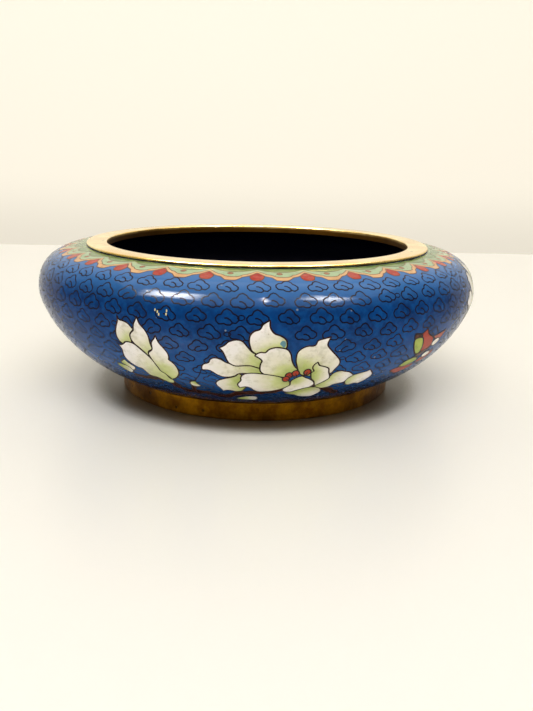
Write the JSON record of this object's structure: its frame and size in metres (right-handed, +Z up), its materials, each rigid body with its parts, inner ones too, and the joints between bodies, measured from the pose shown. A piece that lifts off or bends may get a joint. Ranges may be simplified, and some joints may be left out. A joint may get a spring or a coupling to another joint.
{
  "type": "cloisonne bowl",
  "caption": "Low round bowl of enamelled copper with a wide turned-in shoulder, a flat brass ring round the mouth and a brass foot ring.",
  "frame": {"origin": "centre of the underside of the foot ring, at table height", "axes": "+Z up along the bowl's axis; -Y is the side that the picture shows"},
  "size_m": [0.2, 0.2, 0.0668],
  "materials": {
    "blue_enamel": "glossy fired enamel over copper, slightly mottled",
    "mouth_brass": "worn polished brass, brown inside",
    "foot_brass": "dark tarnished brass with small pits",
    "cell_wire": "dark oxidised flat wire, polished flush",
    "collar_enamel": "glossy fired enamel, pale green, peach and red",
    "blossom_enamel": "glossy fired enamel, cream shading to yellow-green",
    "accent_enamel": "glossy fired enamel, red, pink and green",
    "bare_edge": "bare metal edge at the foot of the shell"
  },
  "bodies": {
    "root": {"bowl_body": "blue_enamel", "mouth_ring": "mouth_brass", "foot_ring": "foot_brass"}
  },
  "joints": []
}
